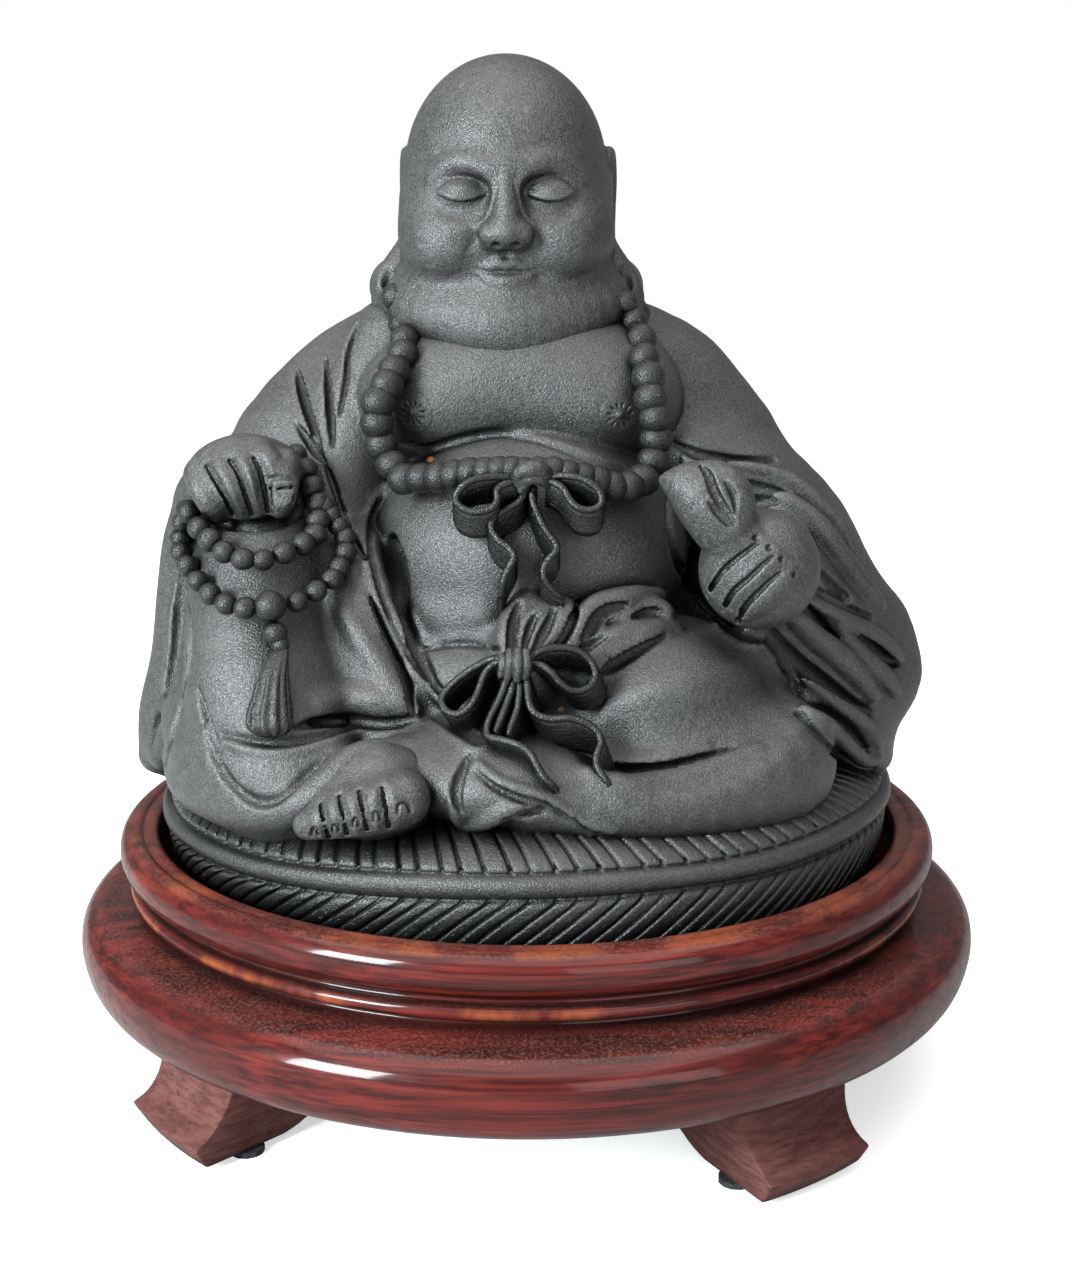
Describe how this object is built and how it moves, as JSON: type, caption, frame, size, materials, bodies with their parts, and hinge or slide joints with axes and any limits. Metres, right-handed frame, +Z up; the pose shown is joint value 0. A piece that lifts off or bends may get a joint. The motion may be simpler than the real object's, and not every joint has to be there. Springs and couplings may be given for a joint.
{
  "type": "seated temple figure on stand",
  "caption": "Seated robed temple figure cast in black clay, with prayer beads and sack, resting on a round turned wooden stand with bracket feet.",
  "frame": {"origin": "on the stand's axis at the floor", "axes": "+Z up, the figure looks along -Y, +X to the viewer's right"},
  "size_m": [0.22, 0.22, 0.2413],
  "materials": {
    "clay": "satin, unglazed, fine sandy grain",
    "wood": "dark red-brown lacquer, glossy, worn on the edges",
    "pad": "matte"
  },
  "bodies": {
    "root": {"figure": "clay", "stand_top": "wood", "foot_front_right": "wood", "foot_back_right": "wood", "foot_back_left": "wood", "foot_front_left": "wood", "pad_front_right": "pad", "pad_back_right": "pad", "pad_back_left": "pad", "pad_front_left": "pad"}
  },
  "joints": []
}
